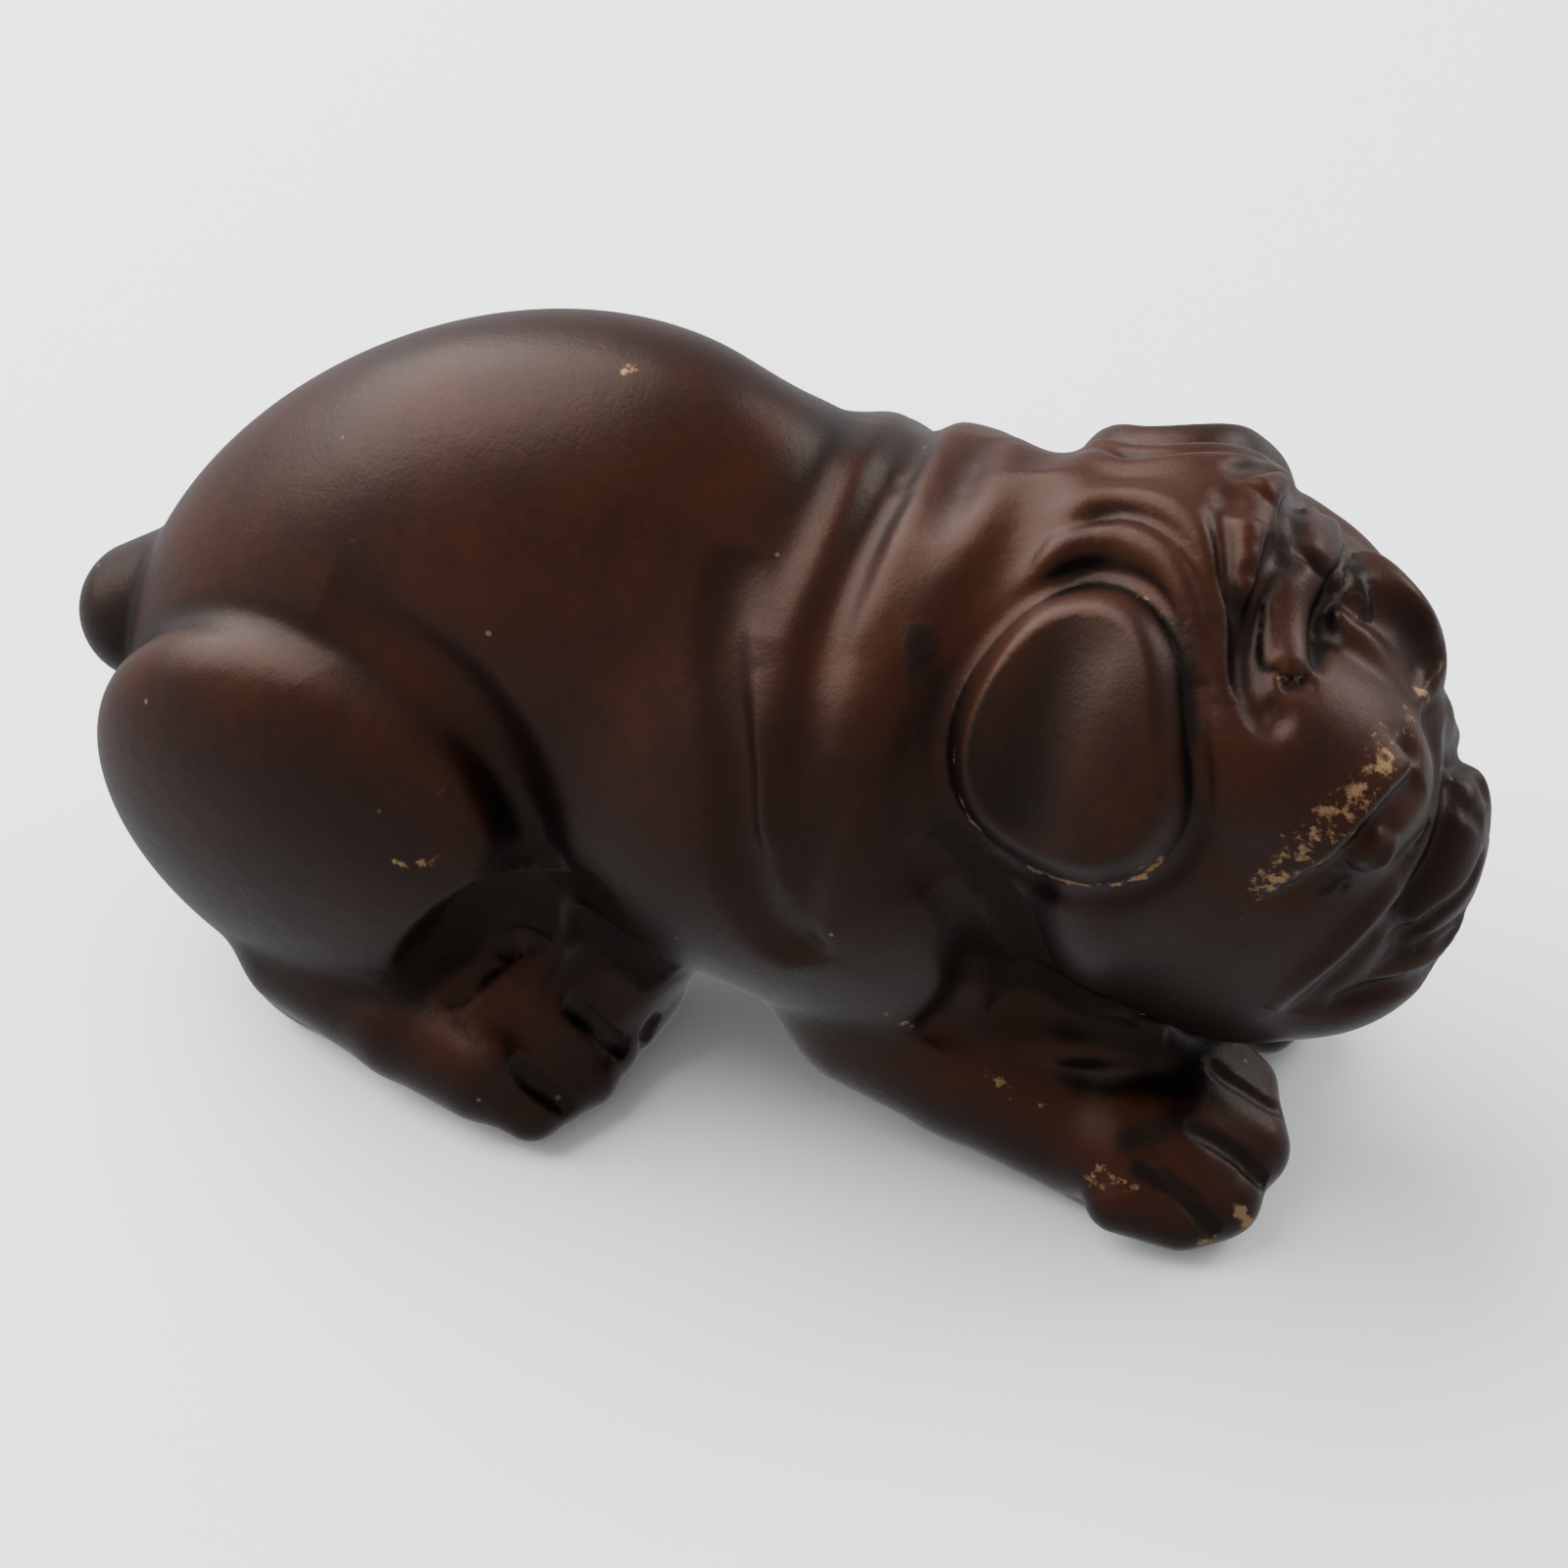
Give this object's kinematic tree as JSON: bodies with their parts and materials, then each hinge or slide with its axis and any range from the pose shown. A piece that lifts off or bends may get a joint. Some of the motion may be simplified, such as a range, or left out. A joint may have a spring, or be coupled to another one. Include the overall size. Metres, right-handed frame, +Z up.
{
  "type": "dog figurine",
  "caption": "Cast bronze figurine of a wrinkled bulldog puppy crouching on its four legs with its head up and its short tail out, dark brown with rubbed golden edges.",
  "frame": {"origin": "centre of the bounding box's underside, on the plane that the paws and hocks stand on", "axes": "+X from the tail towards the nose, +Y to the dog's left, +Z up"},
  "size_m": [0.145, 0.0624, 0.0794],
  "materials": {
    "bronze": "cast copper alloy with a smooth waxed dark brown patina, rubbed to gold on the edges of the ears, brows and toes and rough and grey in the deep folds"
  },
  "bodies": {
    "root": {"dog_figure": "bronze"}
  },
  "joints": []
}
